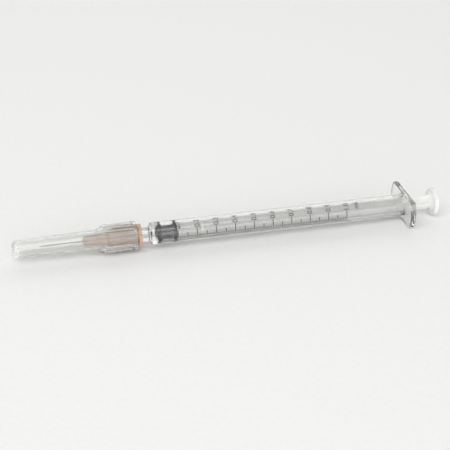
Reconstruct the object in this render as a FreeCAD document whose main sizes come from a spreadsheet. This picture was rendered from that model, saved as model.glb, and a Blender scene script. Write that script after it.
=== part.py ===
"""A 1 ml disposable syringe with its needle and needle cap, as a parametric document.

The syringe lies on its side: its axis is level and runs along X, the needle end towards -X and the thumb
end towards +X. Z is up, and the origin is on the surface it lies on, below the middle of its length.
A station is a distance along the axis. Each turned piece is drawn as an outline of (station, radius) in its
own XZ plane and turned about its X axis, and its placement puts it at its seat. The pieces at the needle end
are turned round to point along -X, so their own stations grow towards the needle's point.
"""

import FreeCAD, Part
import math
import os
import Sketcher
from FreeCAD import Placement, Rotation, Vector

SIZES = {
    # Barrel
    "bore_diameter": 4.7,
    "barrel_wall": 0.95,
    "barrel_tail": 20.2,  # from the scale's last line to the back of the finger flange
    "front_wall": 1.3,
    "bore_cone_depth": 0.7,
    "shoulder_round": 0.6,
    "bore_lead_in": 0.35,
    "flange_wing_reach": 5.45,  # how far the wings stand out from the barrel
    "flange_flat_reach": 1.1,  # and the flats, one of which the syringe lies on
    "flange_thickness": 1.6,
    "flange_corner_round": 1.2,
    "flange_edge_round": 0.35,
    "flange_root_round": 0.6,
    "flange_land": 0.05,  # the least width of face left between two rounds
    "stop_ring_depth": 0.12,
    "stop_ring_length": 0.8,
    "stop_ring_inset": 3.0,
    # Conical nozzle
    "nozzle_length": 8.0,
    "nozzle_tip_diameter": 3.97,
    "nozzle_taper": 0.06,  # on the diameter, over the length
    "nozzle_bore": 1.4,
    "nozzle_tip_chamfer": 0.25,
    "nozzle_root_round": 0.4,
    # Printed scale
    "scale_capacity": 1000.0,  # cubic millimetres at the last line
    "scale_divisions": 100,
    "line_width": 0.2,
    "ink_thickness": 0.04,
    "ink_clearance": 0.005,
    "short_line": 1.6,  # lengths round the barrel
    "middle_line": 2.6,
    "long_line": 3.6,
    "scale_foot_angle": 120.0,  # where the lines start, in degrees from the top towards -Y
    # Rubber gasket on the plunger rod
    "gasket_length": 6.4,
    "gasket_clearance": 0.02,
    "gasket_tip_gap": 0.15,
    "ridge_length": 1.0,
    "ridge_slope": 0.35,
    "waist_depth": 0.3,
    "socket_floor": 2.4,
    "socket_lip": 1.3,
    # Plunger rod
    "head_diameter": 2.8,
    "neck_diameter": 1.9,
    "head_nose": 0.6,
    "head_clearance": 0.05,
    "disc_thickness": 1.0,
    "disc_clearance": 0.09,
    "guide_disc_pitch": 7.0,
    "guide_clearance": 0.04,  # inside the barrel's stop ring
    "rib_thickness": 0.9,
    "rib_clearance": 0.2,
    "thumb_gap": 8.0,  # between the finger flange and the thumb disc, pushed home
    "thumb_diameter": 8.4,
    "thumb_thickness": 1.5,
    "thumb_edge_round": 0.35,
    "thumb_root_length": 1.6,
    "thumb_root_diameter": 6.0,
    "thumb_rim_width": 1.2,
    "thumb_dish_depth": 0.3,
    "gate_mark_diameter": 1.1,
    "gate_mark_height": 0.15,
    # Needle hub
    "hub_engagement": 5.4,  # length of nozzle inside the hub
    "luer_clearance": 0.015,
    "hub_length": 17.0,
    "hub_wall": 0.65,
    "hub_rim_thickness": 1.1,
    "hub_rim_rise": 0.49,
    "lug_reach": 0.6,
    "lug_width": 3.4,
    "hub_cup_length": 9.5,
    "hub_cup_depth": 8.5,
    "hub_funnel_length": 2.1,
    "hub_shoulder_length": 1.2,
    "hub_neck_diameter": 3.5,
    "hub_nose_diameter": 2.7,
    "fin_count": 6,
    "fin_thickness": 0.7,
    "fin_height": 0.4,
    "fin_length": 7.6,
    "glue_well_depth": 1.8,
    "glue_well_diameter": 1.7,
    "glue_bead": 0.6,
    # Cannula
    "cannula_diameter": 0.46,
    "cannula_bore": 0.26,
    "cannula_reach": 13.0,  # from the hub to the point
    "cannula_clearance": 0.02,
    "bevel_angle": 12.0,
    "side_bevel_angle": 19.0,
    "side_bevel_turn": 38.0,
    "side_bevel_drop": 0.06,  # how far above the tube's lowest line the side bevels end
    # Needle cap
    "cap_gap": 0.4,  # between the hub's rim and the cap's mouth
    "cap_clearance": 0.03,
    "cap_wall": 0.7,
    "cap_mouth_flare": 0.12,
    "cap_lip_length": 0.9,
    "cap_grip_overrun": 2.6,  # how far the wide part goes on past the hub's fins
    "cap_step_length": 2.0,
    "cap_tube_clearance": 0.55,  # round the hub's neck
    "cap_tip_bore": 3.5,
    "cap_tip_gap": 6.4,  # between the needle's point and the cap's end wall
    "cap_end_wall": 1.1,
    "cap_end_round": 1.3,
    "rib_count": 14,
    "rib_width": 0.75,
    "rib_crown_width": 0.4,
    "rib_height": 0.37,
    "rib_shoulder": 0.13,  # how far the crown stands above the rib's sides
}

# Lengths that several pieces share, as expressions in the sheet's aliases
BORE_R = "(sizes.bore_diameter / 2)"
BARREL_R = f"({BORE_R} + sizes.barrel_wall)"
NOZZLE_TIP_R = "(sizes.nozzle_tip_diameter / 2)"
NOZZLE_BORE_R = "(sizes.nozzle_bore / 2)"
SLOPE = "(sizes.nozzle_taper / 2)"
GASKET_R = f"({BORE_R} - sizes.gasket_clearance)"
HUB_MOUTH_R = f"({NOZZLE_TIP_R} + {SLOPE} * sizes.hub_engagement + sizes.luer_clearance)"
HUB_BODY_R = f"({HUB_MOUTH_R} + sizes.hub_wall)"
HUB_RIM_R = f"({HUB_BODY_R} + sizes.hub_rim_rise)"
FIN_R = f"({HUB_BODY_R} + sizes.fin_height)"
CANNULA_R = "(sizes.cannula_diameter / 2)"
CANNULA_HOLE_R = f"({CANNULA_R} + sizes.cannula_clearance)"
CAP_BORE_R = f"({FIN_R} + sizes.cap_clearance)"
CAP_SKIRT_R = f"({CAP_BORE_R} + sizes.cap_wall)"
CAP_GRIP_R = f"({CAP_SKIRT_R} + sizes.rib_height)"
FLANGE_HALF_WIDTH = f"({BARREL_R} + sizes.flange_flat_reach)"
FLANGE_ROOM = "(sizes.flange_flat_reach - sizes.flange_edge_round - sizes.flange_land)"
AXIS_HEIGHT = f"max({FLANGE_HALF_WIDTH}; {CAP_GRIP_R}; sizes.thumb_diameter / 2)"

# Stations from the barrel's shoulder, where the nozzle starts
GASKET_NOSE = "(sizes.front_wall + sizes.gasket_tip_gap)"
SCALE_ZERO = f"({GASKET_NOSE} + sizes.bore_cone_depth)"
SCALE_LENGTH = f"(sizes.scale_capacity / (pi * {BORE_R} ^ 2))"
BARREL_BACK = f"({SCALE_ZERO} + {SCALE_LENGTH} + sizes.barrel_tail)"
THUMB_BACK = f"({BARREL_BACK} + sizes.thumb_gap + sizes.thumb_thickness)"
HUB_MOUTH = "(sizes.hub_engagement - sizes.nozzle_length)"
CAP_MOUTH = f"({HUB_MOUTH} - sizes.hub_rim_thickness - sizes.cap_gap)"
HUB_NOSE = f"({HUB_MOUTH} - sizes.hub_length)"
CAP_END = f"({HUB_NOSE} - sizes.cannula_reach - sizes.cap_tip_gap - sizes.cap_end_wall)"
SHOULDER_X = f"(-({THUMB_BACK} + {CAP_END}) / 2)"  # puts the origin at mid length

TOLERANCE = 1e-4
LONG_LINE_EVERY = 10
MIDDLE_LINE_EVERY = 5

doc = FreeCAD.newDocument("syringe")
sheet = doc.addObject("Spreadsheet::Sheet", "sizes")
for row, (alias, value) in enumerate(SIZES.items(), start=1):
    sheet.set(f"A{row}", alias)
    sheet.set(f"B{row}", str(value))
    sheet.setAlias(f"B{row}", alias)
doc.recompute()


def number(expression):
    """What an expression in the sheet's aliases comes to."""
    return float(sheet.evalExpression(expression))


def size(alias):
    return number(f"sizes.{alias}")


def new_body(label, seat, pointing=1):
    """An empty body whose own origin comes to lie at the station seat, measured from the shoulder."""
    body = doc.addObject("PartDesign::Body", label)
    body.Label = label
    if pointing < 0:
        body.Placement = Placement(Vector(), Rotation(Vector(0, 0, 1), 180))
    body.setExpression("Placement.Base.x", f"{SHOULDER_X} + {seat}")
    body.setExpression("Placement.Base.z", AXIS_HEIGHT)
    return body


def origin_feature(body, role):
    return [feature for feature in body.Origin.OriginFeatures if feature.Role == role][0]


def new_sketch(body, name, plane, offset=None, turn=0):
    """A sketch on one of the body's own planes, moved along its normal by an expression, turned about X."""
    sketch = body.newObject("Sketcher::SketchObject", name)
    sketch.AttachmentSupport = [(origin_feature(body, plane), "")]
    sketch.MapMode = "FlatFace"
    sketch.AttachmentOffset = Placement(Vector(), Rotation(Vector(1, 0, 0), turn))
    if offset is not None:
        sketch.setExpression("AttachmentOffset.Base.z", offset)
    return sketch


def tie(sketch, kind, geometry, point, expression, name):
    """Holds one coordinate of a point, measured from the sketch's origin, to an expression."""
    index = sketch.addConstraint(Sketcher.Constraint(kind, -1, 1, geometry, point, number(expression)))
    sketch.renameConstraint(index, name)
    sketch.setExpression(f"Constraints.{name}", expression)


def draw_outline(sketch, corners):
    """Straight edges through the corners, each a pair of expressions."""
    points = [Vector(number(x), number(y), 0) for x, y in corners]
    for start, end in zip(points, points[1:] + points[:1]):
        sketch.addGeometry(Part.LineSegment(start, end), False)
    for i, (x, y) in enumerate(corners):
        sketch.addConstraint(Sketcher.Constraint("Coincident", i, 2, (i + 1) % len(corners), 1))
        tie(sketch, "DistanceX", i, 1, x, f"across_{i}")
        tie(sketch, "DistanceY", i, 1, y, f"up_{i}")


def draw_flatted_round(sketch, radius, half_width):
    """A circle about the sketch's origin, cut by two level flats: an arc, a flat, an arc and a flat."""
    arc_radius = number(radius)
    rise = number(half_width)
    run = math.sqrt(arc_radius**2 - rise**2)
    lean = math.asin(rise / arc_radius)
    circle = Part.Circle(Vector(), Vector(0, 0, 1), arc_radius)
    edges = (
        Part.ArcOfCircle(circle, -lean, lean),
        Part.LineSegment(Vector(run, rise, 0), Vector(-run, rise, 0)),
        Part.ArcOfCircle(circle, math.pi - lean, math.pi + lean),
        Part.LineSegment(Vector(-run, -rise, 0), Vector(run, -rise, 0)),
    )
    for i, edge in enumerate(edges):
        sketch.addGeometry(edge, False)
    for i in range(len(edges)):
        sketch.addConstraint(Sketcher.Constraint("Coincident", i, 2, (i + 1) % len(edges), 1))
    for arc in (0, 2):
        sketch.addConstraint(Sketcher.Constraint("Coincident", arc, 3, -1, 1))
    for flat in (1, 3):
        sketch.addConstraint(Sketcher.Constraint("Horizontal", flat))
    sketch.addConstraint(Sketcher.Constraint("Equal", 0, 2))
    index = sketch.addConstraint(Sketcher.Constraint("Radius", 0, arc_radius))
    sketch.renameConstraint(index, "arc_radius")
    sketch.setExpression("Constraints.arc_radius", radius)
    tie(sketch, "DistanceY", 1, 1, half_width, "upper_flat")
    tie(sketch, "DistanceY", 3, 1, f"-{half_width}", "lower_flat")


def check_cut(feature, volume_before):
    """Stops where a cut points away from its solid and so removes nothing."""
    if feature.Shape.Volume > volume_before - TOLERANCE:
        raise SystemExit(f"{feature.Label} removes nothing")


def turned(body, name, corners, cut=False):
    """Adds, or cuts, the outline of (station, radius) turned about the body's X axis."""
    volume_before = body.Shape.Volume if cut else 0
    sketch = new_sketch(body, name + "_outline", "XZ_Plane")
    draw_outline(sketch, corners)
    feature = body.newObject("PartDesign::Groove" if cut else "PartDesign::Revolution", name)
    feature.Profile = sketch
    feature.ReferenceAxis = (sketch, ["H_Axis"])
    feature.Angle = 360
    doc.recompute()
    if cut:
        check_cut(feature, volume_before)
    return feature


def padded(body, name, sketch, length):
    feature = body.newObject("PartDesign::Pad", name)
    feature.Profile = sketch
    feature.setExpression("Length", length)
    doc.recompute()
    return feature


def patterned(body, name, feature, count):
    """Repeats a feature evenly round the body's X axis."""
    pattern = body.newObject("PartDesign::PolarPattern", name)
    pattern.Originals = [feature]
    pattern.Axis = (origin_feature(body, "X_Axis"), [""])
    pattern.Angle = 360
    pattern.setExpression("Occurrences", count)
    body.Tip = pattern
    doc.recompute()
    return pattern


def dressed(body, name, kind, is_chosen, amount):
    """Rounds or chamfers the chosen edges of what the body holds so far."""
    base = body.Tip
    edges = [f"Edge{i}" for i, edge in enumerate(base.Shape.Edges, start=1) if is_chosen(edge)]
    feature = body.newObject(f"PartDesign::{kind}", name)
    feature.Base = (base, edges)
    feature.setExpression("Radius" if kind == "Fillet" else "Size", amount)
    doc.recompute()
    return feature


def ring_at(station, radius):
    """A test for the full circle of this radius about the X axis at this station, both expressions."""
    centre = number(station)
    length = number(radius)

    def is_ring(edge):
        curve = edge.Curve
        if not isinstance(curve, Part.Circle) or not edge.isClosed():
            return False
        return abs(curve.Center.x - centre) < TOLERANCE and abs(curve.Radius - length) < TOLERANCE

    return is_ring


def make_barrel():
    """Clear moulded barrel: tube, conical nozzle, finger flange and the ring that stops the plunger."""
    barrel = new_body("barrel", "(-sizes.nozzle_length)")
    shoulder = "sizes.nozzle_length"
    back = f"({shoulder} + {BARREL_BACK})"
    nozzle_root_r = f"({NOZZLE_TIP_R} + {SLOPE} * sizes.nozzle_length)"
    turned(
        barrel,
        "barrel_outside",
        [
            ("0", "0"),
            ("0", NOZZLE_TIP_R),
            (shoulder, nozzle_root_r),
            (shoulder, BARREL_R),
            (back, BARREL_R),
            (back, "0"),
        ],
    )
    dressed(barrel, "nozzle_tip_edge", "Chamfer", ring_at("0", NOZZLE_TIP_R), "sizes.nozzle_tip_chamfer")
    dressed(barrel, "shoulder_edge", "Fillet", ring_at(shoulder, BARREL_R), "sizes.shoulder_round")
    dressed(barrel, "nozzle_root", "Fillet", ring_at(shoulder, nozzle_root_r), "sizes.nozzle_root_round")
    add_flange(barrel, back)

    ring_r = f"({BORE_R} - sizes.stop_ring_depth)"
    ring_back = f"({back} - sizes.stop_ring_inset)"
    ring_front = f"({ring_back} - sizes.stop_ring_length)"
    bore_start = f"({shoulder} + sizes.front_wall)"
    turned(
        barrel,
        "bore",
        [
            ("0", "0"),
            ("0", NOZZLE_BORE_R),
            (bore_start, NOZZLE_BORE_R),
            (f"{bore_start} + sizes.bore_cone_depth", BORE_R),
            (ring_front, BORE_R),
            (f"{ring_front} + sizes.stop_ring_depth", ring_r),
            (f"{ring_back} - 2 * sizes.stop_ring_depth", ring_r),
            (ring_back, BORE_R),
            (f"{back} - sizes.bore_lead_in", BORE_R),
            (back, f"{BORE_R} + sizes.bore_lead_in"),
            (back, "0"),
        ],
        cut=True,
    )
    return barrel


def add_flange(barrel, back):
    """A finger flange with two wings and two flats, its corners and both its rims rounded."""
    front = f"({back} - sizes.flange_thickness)"
    outline = new_sketch(barrel, "flange_outline", "YZ_Plane", offset=front)
    draw_flatted_round(outline, f"({BARREL_R} + sizes.flange_wing_reach)", FLANGE_HALF_WIDTH)
    padded(barrel, "finger_flange", outline, "sizes.flange_thickness")
    thickness = size("flange_thickness")
    barrel_r = number(BARREL_R)
    faces = (number(front), number(back))

    def is_corner(edge):
        box = edge.BoundBox
        runs_along = isinstance(edge.Curve, Part.Line) and abs(box.XLength - thickness) < TOLERANCE
        return runs_along and max(abs(box.YMin), abs(box.YMax)) > barrel_r

    def is_rim(edge):
        box = edge.BoundBox
        in_a_face = box.XLength < TOLERANCE and min(abs(box.XMin - face) for face in faces) < TOLERANCE
        return in_a_face and max(abs(box.YMin), abs(box.YMax), abs(box.ZMin), abs(box.ZMax)) > outer_r

    root_round = f"min(sizes.flange_root_round; {FLANGE_ROOM})"
    outer_r = barrel_r + number(root_round) + TOLERANCE
    dressed(barrel, "flange_corners", "Fillet", is_corner, "sizes.flange_corner_round")
    dressed(barrel, "flange_root", "Fillet", ring_at(front, BARREL_R), root_round)
    dressed(barrel, "flange_rims", "Fillet", is_rim, "sizes.flange_edge_round")


def make_scale():
    """The printed scale: a thin curved line of ink for each division, longer at each fifth and each tenth."""
    radius = number(f"{BARREL_R} + sizes.ink_clearance")
    divisions = int(size("scale_divisions"))
    pitch = number(SCALE_LENGTH) / divisions
    width = size("line_width")
    foot = math.radians(size("scale_foot_angle"))
    outward = Vector(0, -math.sin(foot), math.cos(foot))
    along = Vector(width, 0, 0)
    lines = []
    for division in range(divisions + 1):
        if division % LONG_LINE_EVERY == 0:
            reach = size("long_line")
        elif division % MIDDLE_LINE_EVERY == 0:
            reach = size("middle_line")
        else:
            reach = size("short_line")
        station = number(SCALE_ZERO) + division * pitch - width / 2
        inner = outward * radius + Vector(station, 0, 0)
        outer = inner + outward * size("ink_thickness")
        section = Part.Face(Part.makePolygon([inner, inner + along, outer + along, outer, inner]))
        line = section.revolve(Vector(), Vector(-1, 0, 0), math.degrees(reach / radius))
        lines.append(line if line.Volume > 0 else line.reversed())
    scale = doc.addObject("Part::Feature", "scale_print")
    scale.Label = "scale_print"
    scale.Shape = Part.makeCompound(lines)
    scale.Placement = Placement(Vector(number(SHOULDER_X), 0, number(AXIS_HEIGHT)), Rotation())
    return scale


def make_gasket():
    """Rubber gasket: conical nose, two sealing ridges and a waist, a socket for the rod's head."""
    gasket = new_body("gasket", GASKET_NOSE)
    cone_length = f"(sizes.bore_cone_depth * ({GASKET_R} - {NOZZLE_BORE_R}) / ({BORE_R} - {NOZZLE_BORE_R}))"
    front_ridge_end = f"({cone_length} + sizes.ridge_length)"
    back_ridge_start = "(sizes.gasket_length - sizes.ridge_length)"
    waist_r = f"({GASKET_R} - sizes.waist_depth)"
    turned(
        gasket,
        "gasket_outside",
        [
            ("0", "0"),
            ("0", NOZZLE_BORE_R),
            (cone_length, GASKET_R),
            (front_ridge_end, GASKET_R),
            (f"{front_ridge_end} + sizes.ridge_slope", waist_r),
            (f"{back_ridge_start} - sizes.ridge_slope", waist_r),
            (back_ridge_start, GASKET_R),
            ("sizes.gasket_length", GASKET_R),
            ("sizes.gasket_length", "0"),
        ],
    )
    socket_r = "(sizes.head_diameter / 2 + sizes.head_clearance)"
    mouth_r = "(sizes.neck_diameter / 2 + sizes.head_clearance)"
    lip_start = "(sizes.gasket_length - sizes.socket_lip)"
    turned(
        gasket,
        "socket",
        [
            ("sizes.socket_floor", "0"),
            ("sizes.socket_floor", f"{socket_r} - sizes.head_nose / 2"),
            ("sizes.socket_floor + sizes.head_nose", socket_r),
            (lip_start, socket_r),
            (lip_start, mouth_r),
            ("sizes.gasket_length", mouth_r),
            ("sizes.gasket_length", "0"),
        ],
        cut=True,
    )
    return gasket


def make_plunger_rod():
    """Moulded rod: snap-in head, front and guide discs, four ribs, and a dished thumb disc."""
    head_start = f"({GASKET_NOSE} + sizes.socket_floor + sizes.head_clearance)"
    rod = new_body("plunger_rod", head_start)
    head_r = "(sizes.head_diameter / 2)"
    neck_r = "(sizes.neck_diameter / 2)"
    disc_r = f"({BORE_R} - sizes.disc_clearance)"
    disc_front = "(sizes.gasket_length - sizes.socket_floor - sizes.head_clearance)"
    disc_back = f"({disc_front} + sizes.disc_thickness)"
    neck_start = f"({disc_front} - sizes.socket_lip - sizes.head_clearance)"
    turned(
        rod,
        "head_and_front_disc",
        [
            ("0", "0"),
            ("0", f"{head_r} - sizes.head_nose / 2"),
            ("sizes.head_nose", head_r),
            (neck_start, head_r),
            (neck_start, neck_r),
            (disc_front, neck_r),
            (disc_front, disc_r),
            (disc_back, disc_r),
            (disc_back, "0"),
        ],
    )

    thumb_back = f"({THUMB_BACK} - {head_start})"
    thumb_front = f"({thumb_back} - sizes.thumb_thickness)"
    reach = f"({BORE_R} - sizes.rib_clearance)"
    half = "(sizes.rib_thickness / 2)"
    cross = new_sketch(rod, "cross_section", "YZ_Plane", offset=disc_back)
    draw_outline(
        cross,
        [
            (reach, f"-{half}"),
            (reach, half),
            (half, half),
            (half, reach),
            (f"-{half}", reach),
            (f"-{half}", half),
            (f"-{reach}", half),
            (f"-{reach}", f"-{half}"),
            (f"-{half}", f"-{half}"),
            (f"-{half}", f"-{reach}"),
            (half, f"-{reach}"),
            (half, f"-{half}"),
        ],
    )
    padded(rod, "cross_ribs", cross, f"{thumb_front} - {disc_back}")

    guide_front = f"({disc_front} + sizes.guide_disc_pitch)"
    guide_back = f"({guide_front} + sizes.disc_thickness)"
    guide_r = f"({BORE_R} - sizes.stop_ring_depth - sizes.guide_clearance)"
    guide_outline = [(guide_front, "0"), (guide_front, guide_r), (guide_back, guide_r), (guide_back, "0")]
    turned(rod, "guide_disc", guide_outline)

    add_thumb_disc(rod, thumb_front, thumb_back)
    return rod


def add_thumb_disc(rod, front, back):
    """The thumb disc on a conical root: a raised rim, a shallow dish and the moulding's gate mark."""
    thumb_r = "(sizes.thumb_diameter / 2)"
    rim_r = f"({thumb_r} - sizes.thumb_rim_width)"
    dish = f"({back} - sizes.thumb_dish_depth)"
    gate_r = "(sizes.gate_mark_diameter / 2)"
    turned(
        rod,
        "thumb_disc",
        [
            (f"{front} - sizes.thumb_root_length", "0"),
            (f"{front} - sizes.thumb_root_length", "sizes.rib_thickness / 2"),
            (front, "sizes.thumb_root_diameter / 2"),
            (front, thumb_r),
            (back, thumb_r),
            (back, rim_r),
            (dish, f"{rim_r} - sizes.thumb_dish_depth"),
            (dish, gate_r),
            (f"{dish} + sizes.gate_mark_height", gate_r),
            (f"{dish} + sizes.gate_mark_height", "0"),
        ],
    )
    outer_rings = (ring_at(front, thumb_r), ring_at(back, thumb_r))

    def is_thumb_edge(edge):
        return any(is_ring(edge) for is_ring in outer_rings)

    dressed(rod, "thumb_edges", "Fillet", is_thumb_edge, "sizes.thumb_edge_round")


def make_needle_hub():
    """Needle hub: a cup that seats on the nozzle, a rim with two lugs, fins, and a neck for the cannula."""
    hub = new_body("needle_hub", HUB_MOUTH, pointing=-1)
    turned(
        hub,
        "hub_outside",
        [
            ("0", "0"),
            ("0", HUB_RIM_R),
            ("sizes.hub_rim_thickness", HUB_RIM_R),
            ("sizes.hub_rim_thickness", HUB_BODY_R),
            ("sizes.hub_cup_length", f"{HUB_BODY_R} - {SLOPE} * sizes.hub_cup_length"),
            ("sizes.hub_cup_length + sizes.hub_shoulder_length", "sizes.hub_neck_diameter / 2"),
            ("sizes.hub_length", "sizes.hub_nose_diameter / 2"),
            ("sizes.hub_length", "0"),
        ],
    )
    lugs = new_sketch(hub, "lug_section", "YZ_Plane")
    draw_flatted_round(lugs, f"({HUB_RIM_R} + sizes.lug_reach)", "(sizes.lug_width / 2)")
    padded(hub, "lugs", lugs, "sizes.hub_rim_thickness")

    half = "(sizes.fin_thickness / 2)"
    fin_root_r = f"({HUB_MOUTH_R} + sizes.hub_wall / 2)"
    fin_section = new_sketch(hub, "fin_section", "YZ_Plane", offset="sizes.hub_rim_thickness")
    draw_outline(
        fin_section,
        [(f"-{half}", fin_root_r), (half, fin_root_r), (half, FIN_R), (f"-{half}", FIN_R)],
    )
    fin = padded(hub, "fin", fin_section, "sizes.fin_length")
    patterned(hub, "fins", fin, "sizes.fin_count")

    turned(
        hub,
        "cup_and_channel",
        [
            ("0", "0"),
            ("0", HUB_MOUTH_R),
            ("sizes.hub_cup_depth", f"{HUB_MOUTH_R} - {SLOPE} * sizes.hub_cup_depth"),
            ("sizes.hub_cup_depth + sizes.hub_funnel_length", CANNULA_HOLE_R),
            ("sizes.hub_length - sizes.glue_well_depth", CANNULA_HOLE_R),
            ("sizes.hub_length", "sizes.glue_well_diameter / 2"),
            ("sizes.hub_length", "0"),
        ],
        cut=True,
    )
    return hub


def make_cannula():
    """Steel cannula with a lancet point: one long bevel, and a shorter one turned to each side of it."""
    start = "(sizes.hub_cup_depth + sizes.hub_funnel_length)"
    cannula = new_body("cannula", f"({HUB_MOUTH} - {start})", pointing=-1)
    length = f"(sizes.hub_length - {start} + sizes.cannula_reach)"
    bore_r = "(sizes.cannula_bore / 2)"
    turned(cannula, "tube", [("0", bore_r), (length, bore_r), (length, CANNULA_R), ("0", CANNULA_R)])
    bevels = (
        ("long_bevel", 0, "sizes.bevel_angle", "0"),
        ("left_bevel", size("side_bevel_turn"), "sizes.side_bevel_angle", "sizes.side_bevel_drop"),
        ("right_bevel", -size("side_bevel_turn"), "sizes.side_bevel_angle", "sizes.side_bevel_drop"),
    )
    for name, turn, angle, drop in bevels:
        bevel_start = f"({length} - (sizes.cannula_diameter - {drop}) / tan({angle} * 1deg))"
        volume_before = cannula.Shape.Volume
        section = new_sketch(cannula, name + "_section", "XZ_Plane", turn=turn)
        draw_outline(
            section,
            [
                (bevel_start, CANNULA_R),
                (length, f"{drop} - {CANNULA_R}"),
                (f"{length} + {CANNULA_R}", f"{drop} - {CANNULA_R}"),
                (f"{length} + {CANNULA_R}", "sizes.cannula_diameter"),
                (bevel_start, "sizes.cannula_diameter"),
            ],
        )
        bevel = cannula.newObject("PartDesign::Pocket", name)
        bevel.Profile = section
        bevel.Midplane = True
        bevel.setExpression("Length", "2 * sizes.cannula_diameter")
        doc.recompute()
        check_cut(bevel, volume_before)
    return cannula


def make_cannula_bond():
    """Clear adhesive that fills the well in the hub's nose and climbs a little way up the cannula."""
    bond = new_body("cannula_bond", f"({HUB_NOSE} + sizes.glue_well_depth)", pointing=-1)
    well_r = "(sizes.glue_well_diameter / 2)"
    crown = "(sizes.glue_well_depth + sizes.glue_bead)"
    turned(
        bond,
        "bead",
        [
            ("0", CANNULA_R),
            ("0", CANNULA_HOLE_R),
            ("sizes.glue_well_depth", well_r),
            ("sizes.glue_well_depth + sizes.glue_bead / 4", f"({well_r} + {CANNULA_HOLE_R}) / 2"),
            (crown, CANNULA_HOLE_R),
            (crown, CANNULA_R),
        ],
    )
    return bond


def make_needle_cap():
    """Translucent cap: a ribbed skirt that grips the hub's fins, and a closed tube over the needle."""
    cap = new_body("needle_cap", CAP_MOUTH, pointing=-1)
    skirt_end = "(sizes.fin_length - sizes.cap_gap + sizes.cap_grip_overrun)"
    step_end = f"({skirt_end} + sizes.cap_step_length)"
    tube_bore_r = "(sizes.hub_neck_diameter / 2 + sizes.cap_tube_clearance)"
    tip_bore_r = "(sizes.cap_tip_bore / 2)"
    cap_end = f"({CAP_MOUTH} - {CAP_END})"
    turned(
        cap,
        "cap_outside",
        [
            ("0", "0"),
            ("0", CAP_GRIP_R),
            ("sizes.cap_lip_length", CAP_GRIP_R),
            ("sizes.cap_lip_length", CAP_SKIRT_R),
            (skirt_end, CAP_SKIRT_R),
            (step_end, f"{tube_bore_r} + sizes.cap_wall"),
            (cap_end, f"{tip_bore_r} + sizes.cap_wall"),
            (cap_end, "0"),
        ],
    )
    is_end_ring = ring_at(cap_end, f"{tip_bore_r} + sizes.cap_wall")
    dressed(cap, "cap_end", "Fillet", is_end_ring, "sizes.cap_end_round")

    half = "(sizes.rib_width / 2)"
    half_crown = "(sizes.rib_crown_width / 2)"
    side_r = f"({CAP_GRIP_R} - sizes.rib_shoulder)"
    rib_root_r = f"({CAP_BORE_R} + sizes.cap_wall / 2)"
    rib_section = new_sketch(cap, "rib_section", "YZ_Plane", offset="sizes.cap_lip_length")
    draw_outline(
        rib_section,
        [
            (f"-{half}", rib_root_r),
            (half, rib_root_r),
            (half, side_r),
            (half_crown, CAP_GRIP_R),
            (f"-{half_crown}", CAP_GRIP_R),
            (f"-{half}", side_r),
        ],
    )
    rib = padded(cap, "grip_rib", rib_section, f"{skirt_end} - sizes.cap_lip_length")
    patterned(cap, "grip_ribs", rib, "sizes.rib_count")

    bore_end = f"({cap_end} - sizes.cap_end_wall)"
    turned(
        cap,
        "cap_bore",
        [
            ("0", "0"),
            ("0", f"{CAP_BORE_R} + sizes.cap_mouth_flare"),
            ("sizes.cap_lip_length", CAP_BORE_R),
            (f"{skirt_end} - sizes.cap_wall", CAP_BORE_R),
            (f"{step_end} - sizes.cap_wall / 2", tube_bore_r),
            (f"{bore_end} - {tip_bore_r} / 2", tip_bore_r),
            (bore_end, f"{tip_bore_r} / 2"),
            (bore_end, "0"),
        ],
        cut=True,
    )
    return cap


def find_faults(pieces):
    """Names each object that failed to build, and each piece whose shape is empty or not valid."""
    faults = [f"{o.Label} is {o.State}" for o in doc.Objects if {"Invalid", "Error"} & set(o.State)]
    for piece in pieces:
        if piece.Shape.isNull() or not piece.Shape.isValid():
            faults.append(f"{piece.Label} has a shape that is empty or not valid")
    return faults


def main():
    makers = (
        make_barrel,
        make_scale,
        make_gasket,
        make_plunger_rod,
        make_needle_hub,
        make_cannula,
        make_cannula_bond,
        make_needle_cap,
    )
    pieces = [make() for make in makers]
    doc.recompute()
    faults = find_faults(pieces)
    if faults:
        raise SystemExit("\n".join(faults))
    os.makedirs("parts", exist_ok=True)
    for piece in pieces:
        piece.Shape.exportStep(f"parts/{piece.Label}.step")
        print(f"{piece.Label}: {len(piece.Shape.Solids)} solids, {piece.Shape.Volume:.3f} cubic mm")
    print(f"shoulder x {number(SHOULDER_X):.4f}, barrel back {number(BARREL_BACK):.4f} from it")
    print(f"axis height {number(AXIS_HEIGHT):.4f}")


main()
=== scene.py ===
"""The look of a 1 ml disposable syringe with its needle and needle cap.

The syringe lies on its side along X, the needle end towards -X, as its CAD pieces give it. This script
turns the soft gasket that stands for its CAD solid, adds the printed figures, gives every piece the finish
of what it is made of, and lights it on a pale floor. Lengths are written in millimetres and brought to
metres with MM.
"""

import math

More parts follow.
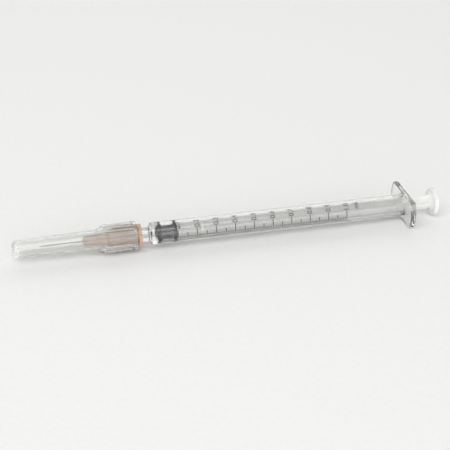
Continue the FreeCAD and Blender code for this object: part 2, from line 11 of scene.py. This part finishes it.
import bmesh
import bpy
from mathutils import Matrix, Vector


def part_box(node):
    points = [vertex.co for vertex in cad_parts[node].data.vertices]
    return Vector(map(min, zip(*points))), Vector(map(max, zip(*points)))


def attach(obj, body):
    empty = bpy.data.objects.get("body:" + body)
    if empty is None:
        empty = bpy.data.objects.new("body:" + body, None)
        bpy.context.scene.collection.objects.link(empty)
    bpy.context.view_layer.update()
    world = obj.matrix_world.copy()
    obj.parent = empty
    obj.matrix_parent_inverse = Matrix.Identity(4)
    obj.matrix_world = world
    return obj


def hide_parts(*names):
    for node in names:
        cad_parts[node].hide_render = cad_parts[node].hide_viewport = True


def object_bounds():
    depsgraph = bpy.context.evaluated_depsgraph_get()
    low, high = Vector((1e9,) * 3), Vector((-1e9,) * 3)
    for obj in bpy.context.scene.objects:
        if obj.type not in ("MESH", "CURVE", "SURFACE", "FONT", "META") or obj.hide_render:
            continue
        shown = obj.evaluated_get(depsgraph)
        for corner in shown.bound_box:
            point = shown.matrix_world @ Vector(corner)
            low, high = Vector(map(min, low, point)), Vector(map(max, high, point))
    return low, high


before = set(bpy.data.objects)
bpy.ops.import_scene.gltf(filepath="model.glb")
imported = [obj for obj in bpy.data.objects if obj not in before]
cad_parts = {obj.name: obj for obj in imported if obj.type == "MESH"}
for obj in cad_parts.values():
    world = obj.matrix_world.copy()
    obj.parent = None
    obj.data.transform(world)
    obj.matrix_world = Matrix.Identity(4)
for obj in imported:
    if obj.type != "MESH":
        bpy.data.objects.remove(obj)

MM = 0.001
CAD_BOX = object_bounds()
MIDDLE = (CAD_BOX[0] + CAD_BOX[1]) / 2

# The printed figures
FIGURE_EM = 2.15  # the size of the type
FIGURE_START = 52.0  # where a figure starts, in degrees from the top of the barrel towards the viewer
INK_THICKNESS = 0.035
LINE_WIDTH = 0.2  # of the scale's printed lines
UNIT_GAP = 3.2  # from the last line to the middle of the unit
STRIP_WIDTH = 0.2  # a figure is cut into strips this wide, so that it bends round the barrel
CURVE_STEPS = 6  # in each curve of a figure's outline
TENTHS = 10
WELD_REACH = 0.001  # points of a mesh that are nearer than this become one

# The gasket's outline, from the middle of its nose round to the floor of the socket for the rod's head.
# Each corner has its distance from the nose and from the axis, and how far from it the rounding starts.
WALL_CONTACT = 2.356  # a hair over the bore's radius of 2.35, since the ridges are squeezed on the wall
GASKET_OUTLINE = [
    (0.0, 0.0, 0.0),
    (0.0, 0.7, 0.2),
    (0.7, WALL_CONTACT, 0.15),
    (1.75, WALL_CONTACT, 0.12),
    (2.08, 2.03, 0.25),
    (5.02, 2.03, 0.25),
    (5.35, WALL_CONTACT, 0.12),
    (6.4, WALL_CONTACT, 0.15),
    (6.4, 1.0, 0.0),
    (5.1, 1.0, 0.0),
    (5.1, 1.45, 0.0),
    (3.0, 1.45, 0.0),
    (2.4, 1.15, 0.0),
    (2.4, 0.0, 0.0),
]
ROUNDING_STEPS = 5  # in each rounded corner
TURN_STEPS = 96  # in the whole turn about the axis
SHARP_ANGLE = 35.0  # an edge that turns by more degrees than this stays crisp

# Nearly all of a noise's values lie between these two
NOISE_LOW = 0.35
NOISE_HIGH = 0.65

# Sockets of the Mix node for colours, whose names several of its inputs share
FIRST_COLOUR = 6
SECOND_COLOUR = 7
MIXED_COLOUR = 2

# The camera and the studio
CAMERA_AZIMUTH = -13.0
CAMERA_ELEVATION = 30.0
LENS = 85.0
SENSOR = 36.0
FRAME_FILL = 0.94  # the share of the picture's width that the syringe takes up
AIM_SHIFT = -2.0  # the camera aims this far towards the cap, whose end is nearer and looks larger
NEAREST_SHARE = 0.01  # of the camera's distance: what is nearer than this isn't drawn
ROOM_COLOUR = "F6F6F5"
WALL_LIGHT = 1.0
CEILING_LIGHT = 0.25
DIMMING = (0.25, 0.8)  # the room dims between these heights, where 0 is level and 1 straight up
BOARD_REACH = 4000.0  # half the width of the floor
BOARD_EDGE = (300.0, 1100.0)  # from here to here the floor fades into the room

# Each lamp's azimuth and elevation in degrees, its distance, width and height in metres, and its watts
LAMPS = {
    "soft_box": (-34, 58, 1.1, 1.2, 0.8, 7.0),
    "front_fill": (-5, 12, 1.2, 1.6, 0.6, 3.7),
    "back_light": (165, 40, 0.9, 1.0, 0.5, 1.5),
}


def srgb(code):
    """A colour written as six hex digits, as linear red, green, blue and alpha."""
    channels = [int(code[i : i + 2], 16) / 255 for i in (0, 2, 4)]
    linear = [c / 12.92 if c <= 0.04045 else ((c + 0.055) / 1.055) ** 2.4 for c in channels]
    return (*linear, 1.0)


def per_mm(length):
    """The scale of a pattern that repeats about every so many millimetres."""
    return 1 / (length * MM)


def add_node(owner, kind, properties=None, inputs=None):
    """Adds a node with its properties to a material or to the room. An input is a plain value, or another
    node's output to link to it."""
    node = owner.node_tree.nodes.new(kind)
    for name, value in (properties or {}).items():
        setattr(node, name, value)
    for name, value in (inputs or {}).items():
        if isinstance(value, bpy.types.NodeSocket):
            owner.node_tree.links.new(value, node.inputs[name])
        else:
            node.inputs[name].default_value = value
    return node


def new_material(name):
    """An empty material with its output node."""
    material = bpy.data.materials.new(name)
    material.use_nodes = True
    material.node_tree.nodes.clear()
    output = add_node(material, "ShaderNodeOutputMaterial")
    return material, output


def grain(material, size, stretch=(1, 1, 1)):
    """Noise whose spots are about size millimetres across, and longer along an axis by its stretch."""
    place = add_node(material, "ShaderNodeTexCoord")
    drawn_out = add_node(
        material,
        "ShaderNodeMapping",
        inputs={"Vector": place.outputs["Object"], "Scale": tuple(1 / s for s in stretch)},
    )
    noise = add_node(
        material,
        "ShaderNodeTexNoise",
        inputs={"Vector": drawn_out.outputs["Vector"], "Scale": per_mm(size)},
    )
    return noise.outputs["Fac"]


def between(material, pattern, low, high):
    """Spreads a pattern's middle range over low to high."""
    spread = add_node(
        material,
        "ShaderNodeMapRange",
        inputs={
            "Value": pattern,
            "From Min": NOISE_LOW,
            "From Max": NOISE_HIGH,
            "To Min": low,
            "To Max": high,
        },
    )
    return spread.outputs["Result"]


def two_tone(material, pattern, first, second):
    """Blends two hex colours by a pattern."""
    blend = add_node(
        material,
        "ShaderNodeMix",
        {"data_type": "RGBA"},
        {
            "Factor": between(material, pattern, 0.0, 1.0),
            FIRST_COLOUR: srgb(first),
            SECOND_COLOUR: srgb(second),
        },
    )
    return blend.outputs[MIXED_COLOUR]


def relief(material, pattern, height):
    """A bump whose full height is given in millimetres."""
    bump = add_node(material, "ShaderNodeBump", inputs={"Height": pattern, "Distance": height * MM})
    return bump.outputs["Normal"]


def finish(material, output, settings, absorbs=None):
    """Joins a Principled shader, and for a clear piece what its thickness takes from the light."""
    shader = add_node(material, "ShaderNodeBsdfPrincipled", inputs=settings)
    material.node_tree.links.new(shader.outputs["BSDF"], output.inputs["Surface"])
    if absorbs:
        colour, density = absorbs
        inside = add_node(
            material,
            "ShaderNodeVolumeAbsorption",
            inputs={"Color": srgb(colour), "Density": density},
        )
        material.node_tree.links.new(inside.outputs["Volume"], output.inputs["Volume"])
    return material


def moulded_clear_polypropylene():
    """Clarified polypropylene from a polished mould: a clear, glossy tube with only a faint haze."""
    material, output = new_material("moulded_clear_polypropylene")
    flow = grain(material, 1.6, stretch=(14, 1, 1))  # the melt ran along the barrel
    skin = grain(material, 0.5)
    return finish(
        material,
        output,
        {
            "Base Color": two_tone(material, flow, "FBFBFA", "FEFEFE"),
            "Roughness": between(material, skin, 0.05, 0.07),
            "Normal": relief(material, flow, 0.002),
            "IOR": 1.49,
            "Transmission Weight": 0.95,
        },
        absorbs=("F2F2F0", 20.0),
    )


def moulded_natural_polypropylene():
    """Uncoloured polypropylene, less polished: milky, so the ribs of the rod read as soft white edges."""
    material, output = new_material("moulded_natural_polypropylene")
    flow = grain(material, 1.2, stretch=(10, 1, 1))
    # The mould's spark texture is some 0.04 mm across, too fine to show, so it is drawn at 0.16 mm
    spark_finish = grain(material, 0.16)
    return finish(
        material,
        output,
        {
            "Base Color": two_tone(material, flow, "F5F5F3", "F9F9F7"),
            "Roughness": between(material, spark_finish, 0.12, 0.16),
            "Normal": relief(material, spark_finish, 0.0005),
            "IOR": 1.49,
            "Transmission Weight": 0.12,
        },
        absorbs=("F0F0EE", 20.0),
    )


def moulded_cap_polypropylene():
    """Thin-walled uncoloured polypropylene: a frosted sleeve that still shows the hub's colour inside."""
    material, output = new_material("moulded_cap_polypropylene")
    flow = grain(material, 1.4, stretch=(9, 1, 1))
    # The spark texture is finer here, some 0.03 mm across, and it is drawn at 0.14 mm to show
    spark_finish = grain(material, 0.14)
    return finish(
        material,
        output,
        {
            "Base Color": two_tone(material, flow, "F9F9F7", "FDFDFC"),
            "Roughness": between(material, spark_finish, 0.09, 0.13),
            "Normal": relief(material, spark_finish, 0.0005),
            "IOR": 1.49,
            "Transmission Weight": 0.9,
        },
        absorbs=("E0E0DC", 40.0),
    )


def moulded_brown_polypropylene():
    """Polypropylene tinted brown for the needle's gauge: milky and warm, paler where it is thin."""
    material, output = new_material("moulded_brown_polypropylene")
    flow = grain(material, 1.1, stretch=(7, 1, 1))
    skin = grain(material, 0.2)
    return finish(
        material,
        output,
        {
            "Base Color": two_tone(material, flow, "DDBEA9", "E6CAB8"),
            "Roughness": between(material, skin, 0.17, 0.2),
            "Normal": relief(material, skin, 0.001),
            "IOR": 1.49,
            "Transmission Weight": 0.4,
        },
        absorbs=("CFA78D", 60.0),
    )


def moulded_black_rubber():
    """Butyl rubber, satin from the mould and oiled with silicone: black where it is pressed on the
    barrel, and grey with a soft shine where it stands clear."""
    material, output = new_material("moulded_black_rubber")
    bloom = grain(material, 0.9)
    pores = grain(material, 0.12)  # real ones are a tenth of this, too fine to show
    return finish(
        material,
        output,
        {
            "Base Color": two_tone(material, bloom, "232427", "323337"),
            "Roughness": between(material, pores, 0.34, 0.5),
            "Normal": relief(material, pores, 0.003),
            "IOR": 1.52,
            "Coat Weight": 0.3,
            "Coat Roughness": 0.18,
        },
    )


def drawn_stainless_steel():
    """Bright steel tube with fine lines along it from the drawing die: one long streak of light."""
    material, output = new_material("drawn_stainless_steel")
    # Real draw lines are some 0.01 mm wide, too fine to show, so they are drawn at 0.05 mm
    lines = grain(material, 0.05, stretch=(60, 1, 1))
    return finish(
        material,
        output,
        {
            "Base Color": two_tone(material, lines, "94979B", "B0B3B6"),
            "Roughness": between(material, lines, 0.16, 0.3),
            "Normal": relief(material, lines, 0.002),
            "Metallic": 1.0,
        },
    )


def printed_black_ink():
    """Black ink rolled on in one pass: matt, a little thin in spots where the plastic repels it."""
    material, output = new_material("printed_black_ink")
    spots = grain(material, 0.25)
    return finish(
        material,
        output,
        {
            "Base Color": two_tone(material, spots, "1E2023", "34373A"),
            "Roughness": between(material, spots, 0.45, 0.62),
            "IOR": 1.5,
        },
    )


def cured_clear_epoxy():
    """Epoxy that set as a drop round the cannula: clear, faintly yellow and glossy."""
    material, output = new_material("cured_clear_epoxy")
    ripple = grain(material, 0.6)
    return finish(
        material,
        output,
        {
            "Base Color": two_tone(material, ripple, "E9E3D3", "F1ECDF"),
            "Roughness": between(material, ripple, 0.05, 0.09),
            "Normal": relief(material, ripple, 0.004),
            "IOR": 1.54,
            "Transmission Weight": 0.45,
        },
    )


def matt_white_board():
    """Matt white board under the syringe. It keeps the shadow, and far out it is as pale as the room."""
    material, output = new_material("matt_white_board")
    tooth = grain(material, 1.5)
    board = add_node(
        material,
        "ShaderNodeBsdfPrincipled",
        inputs={
            "Base Color": two_tone(material, tooth, "F4F4F3", "F6F6F5"),
            "Roughness": between(material, tooth, 0.85, 0.95),
        },
    )
    room = add_node(
        material, "ShaderNodeEmission", inputs={"Color": srgb(ROOM_COLOUR), "Strength": WALL_LIGHT}
    )
    place = add_node(material, "ShaderNodeNewGeometry")
    distance = add_node(
        material,
        "ShaderNodeVectorMath",
        {"operation": "LENGTH"},
        {"Vector": place.outputs["Position"]},
    )
    edge = add_node(
        material,
        "ShaderNodeMapRange",
        {"interpolation_type": "SMOOTHSTEP"},
        {
            "Value": distance.outputs["Value"],
            "From Min": BOARD_EDGE[0] * MM,
            "From Max": BOARD_EDGE[1] * MM,
        },
    )
    ray = add_node(material, "ShaderNodeLightPath")
    seen = ray.outputs["Is Camera Ray"]
    for other in ("Is Glossy Ray", "Is Transmission Ray"):
        seen = add_node(
            material, "ShaderNodeMath", {"operation": "MAXIMUM"}, {0: seen, 1: ray.outputs[other]}
        ).outputs["Value"]
    fade = add_node(
        material, "ShaderNodeMath", {"operation": "MULTIPLY"}, {0: edge.outputs["Result"], 1: seen}
    )
    both = add_node(
        material,
        "ShaderNodeMixShader",
        inputs={"Fac": fade.outputs["Value"], 1: board.outputs["BSDF"], 2: room.outputs["Emission"]},
    )
    material.node_tree.links.new(both.outputs["Shader"], output.inputs["Surface"])
    return material


def dress(node, material):
    """Puts a material on a CAD piece."""
    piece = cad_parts[node]
    piece.data.materials.clear()
    piece.data.materials.append(material)


def add_piece(mesh, material, body):
    """Adds a mesh under its own name, as a piece that rides on a body and takes the finish of a slot."""
    mesh.materials.append(material)
    piece = bpy.data.objects.new(mesh.name, mesh)
    bpy.context.scene.collection.objects.link(piece)
    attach(piece, body)
    return piece


def rounded(outline):
    """The points along an outline once its corners are rounded."""
    points = []
    for i, (distance, radius, reach) in enumerate(outline):
        corner = Vector((distance, radius))
        if not reach:
            points.append(corner)
            continue
        start = corner + (Vector(outline[i - 1][:2]) - corner).normalized() * reach
        end = corner + (Vector(outline[i + 1][:2]) - corner).normalized() * reach
        for step in range(ROUNDING_STEPS + 1):
            t = step / ROUNDING_STEPS
            points.append(start * (1 - t) ** 2 + corner * 2 * t * (1 - t) + end * t**2)
    return points


def add_gasket(rubber):
    """The gasket on the rod's head, turned from its outline. Its ridges touch the wall all round."""
    low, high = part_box("gasket")
    axis_height = (low[2] + high[2]) / 2
    lathe = bmesh.new()
    rings = []
    for distance, radius in rounded(GASKET_OUTLINE):
        ring = []
        for turn in range(TURN_STEPS if radius else 1):
            angle = math.tau * turn / TURN_STEPS
            y, z = radius * MM * math.cos(angle), radius * MM * math.sin(angle)
            ring.append(lathe.verts.new((low[0] + distance * MM, y, axis_height + z)))
        rings.append(ring)
    for front, back in zip(rings, rings[1:]):
        for turn in range(TURN_STEPS):
            corners = [(front, turn), (front, turn + 1), (back, turn + 1), (back, turn)]
            # A ring on the axis is one point, which counts once
            lathe.faces.new(dict.fromkeys(ring[place % len(ring)] for ring, place in corners))
    mesh = bpy.data.meshes.new("rubber_gasket")
    lathe.to_mesh(mesh)
    lathe.free()
    mesh.shade_smooth()
    mesh.set_sharp_from_angle(angle=math.radians(SHARP_ANGLE))
    piece = add_piece(mesh, rubber, "plunger")
    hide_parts("gasket")


def flat_figure(text):
    """A figure as a thin flat solid, in millimetres, its foot at the origin."""
    curve = bpy.data.curves.new("figure_" + text, "FONT")
    curve.body = text
    curve.size = FIGURE_EM
    curve.extrude = INK_THICKNESS / 2
    curve.resolution_u = CURVE_STEPS
    holder = bpy.data.objects.new("figure_" + text, curve)
    bpy.context.scene.collection.objects.link(holder)
    graph = bpy.context.evaluated_depsgraph_get()
    mesh = bpy.data.meshes.new_from_object(holder.evaluated_get(graph))
    flat = bmesh.new()
    flat.from_mesh(mesh)
    bpy.data.meshes.remove(mesh)
    bpy.data.objects.remove(holder)
    bpy.data.curves.remove(curve)
    return flat


def add_figure(figures, text, station, ink_outside, axis_height):
    """Bends a figure round the barrel with its middle at a station, and adds it to the figures."""
    flat = flat_figure(text)
    across = [v.co.x for v in flat.verts]
    upward = [v.co.y for v in flat.verts]
    middle = (min(upward) + max(upward)) / 2
    cuts = int((max(across) - min(across)) / STRIP_WIDTH)
    for i in range(1, cuts + 1):
        everything = flat.verts[:] + flat.edges[:] + flat.faces[:]
        plane = Vector((min(across) + i * STRIP_WIDTH, 0, 0))
        bmesh.ops.bisect_plane(flat, geom=everything, dist=WELD_REACH, plane_co=plane, plane_no=(1, 0, 0))
    bmesh.ops.remove_doubles(flat, verts=flat.verts[:], dist=WELD_REACH)
    bmesh.ops.dissolve_degenerate(flat, edges=flat.edges[:], dist=WELD_REACH)
    bmesh.ops.triangulate(flat, faces=flat.faces[:])
    for vertex in flat.verts:
        angle = math.radians(FIGURE_START) - (vertex.co.x - min(across)) / ink_outside
        radius = ink_outside - INK_THICKNESS / 2 + vertex.co.z
        x = station - (vertex.co.y - middle)
        y = -radius * math.sin(angle)
        z = axis_height + radius * math.cos(angle)
        vertex.co = Vector((x, y, z)) * MM
    bent = bpy.data.meshes.new("bent")
    flat.to_mesh(bent)
    flat.free()
    figures.from_mesh(bent)
    bpy.data.meshes.remove(bent)


def add_scale_figures(ink):
    """The figures 0.1 to 1.0 beside their lines, and the unit past the last, read with the needle up."""
    low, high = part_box("scale_print")
    barrel_low, barrel_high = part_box("barrel")
    first_line = low[0] / MM + LINE_WIDTH / 2
    last_line = high[0] / MM - LINE_WIDTH / 2
    axis_height = (barrel_low[2] + barrel_high[2]) / 2 / MM
    ink_outside = -low[1] / MM
    figures = bmesh.new()
    for tenth in range(1, TENTHS + 1):
        station = first_line + (last_line - first_line) * tenth / TENTHS
        add_figure(figures, f"{tenth / TENTHS:.1f}", station, ink_outside, axis_height)
    add_figure(figures, "mL", last_line + UNIT_GAP, ink_outside, axis_height)
    mesh = bpy.data.meshes.new("scale_figures")
    figures.to_mesh(mesh)
    figures.free()
    add_piece(mesh, ink, "barrel")


def add_floor():
    """A wide pale board under the syringe."""
    half = BOARD_REACH * MM
    mesh = bpy.data.meshes.new("floor")
    corners = [(-half, -half, 0), (half, -half, 0), (half, half, 0), (-half, half, 0)]
    mesh.from_pydata(corners, [], [(0, 1, 2, 3)])
    mesh.materials.append(matt_white_board())
    floor = bpy.data.objects.new("floor", mesh)
    floor.location.z = CAD_BOX[0].z
    bpy.context.scene.collection.objects.link(floor)


def towards(azimuth, elevation):
    """The direction from the syringe to a place at this azimuth and elevation, in degrees. Both are
    zero in front, towards -Y."""
    a, e = math.radians(azimuth), math.radians(elevation)
    return Vector((math.sin(a) * math.cos(e), -math.cos(a) * math.cos(e), math.sin(e)))


def add_lamp(name, azimuth, elevation, distance, width, height, power):
    """A soft rectangular lamp that faces the syringe."""
    light = bpy.data.lights.new(name, "AREA")
    light.shape = "RECTANGLE"
    light.size = width
    light.size_y = height
    light.energy = power
    lamp = bpy.data.objects.new(name, light)
    away = towards(azimuth, elevation)
    lamp.location = MIDDLE + away * distance
    lamp.rotation_euler = away.to_track_quat("Z", "Y").to_euler()
    bpy.context.scene.collection.objects.link(lamp)


def add_studio():
    """A soft box high on the left, a low fill in front, a lamp behind that draws a line of light along
    the top, and a room with pale walls."""
    for name, settings in LAMPS.items():
        add_lamp(name, *settings)
    room = bpy.data.worlds.new("room")
    room.use_nodes = True
    room.node_tree.nodes.clear()
    direction = add_node(room, "ShaderNodeTexCoord")
    height = add_node(room, "ShaderNodeSeparateXYZ", inputs={"Vector": direction.outputs["Generated"]})
    dim_above = add_node(
        room,
        "ShaderNodeMapRange",
        inputs={
            "Value": height.outputs["Z"],
            "From Min": DIMMING[0],
            "From Max": DIMMING[1],
            "To Min": WALL_LIGHT,
            "To Max": CEILING_LIGHT,
        },
    )
    walls = add_node(
        room,
        "ShaderNodeBackground",
        inputs={"Color": srgb(ROOM_COLOUR), "Strength": dim_above.outputs["Result"]},
    )
    add_node(room, "ShaderNodeOutputWorld", inputs={"Surface": walls.outputs["Background"]})
    bpy.context.scene.world = room


def add_camera():
    """A long lens at the photograph's angle, near enough for the syringe to fill the picture's width."""
    data = bpy.data.cameras.new("camera")
    data.lens = LENS
    data.sensor_width = SENSOR
    camera = bpy.data.objects.new("camera", data)
    seen_length = (CAD_BOX[1].x - CAD_BOX[0].x) * math.cos(math.radians(CAMERA_AZIMUTH))
    distance = seen_length / FRAME_FILL / (SENSOR / LENS)
    back = towards(CAMERA_AZIMUTH, CAMERA_ELEVATION)
    camera.location = MIDDLE + Vector((AIM_SHIFT * MM, 0, 0)) + back * distance
    camera.rotation_euler = back.to_track_quat("Z", "Y").to_euler()
    data.clip_start = distance * NEAREST_SHARE
    bpy.context.scene.collection.objects.link(camera)
    bpy.context.scene.camera = camera


ink = printed_black_ink()
dress("barrel", moulded_clear_polypropylene())
dress("scale_print", ink)
dress("plunger_rod", moulded_natural_polypropylene())
dress("needle_hub", moulded_brown_polypropylene())
dress("cannula", drawn_stainless_steel())
dress("cannula_bond", cured_clear_epoxy())
dress("needle_cap", moulded_cap_polypropylene())
add_gasket(moulded_black_rubber())
add_scale_figures(ink)
add_floor()
add_studio()
add_camera()
bpy.context.scene.view_settings.view_transform = "Standard"
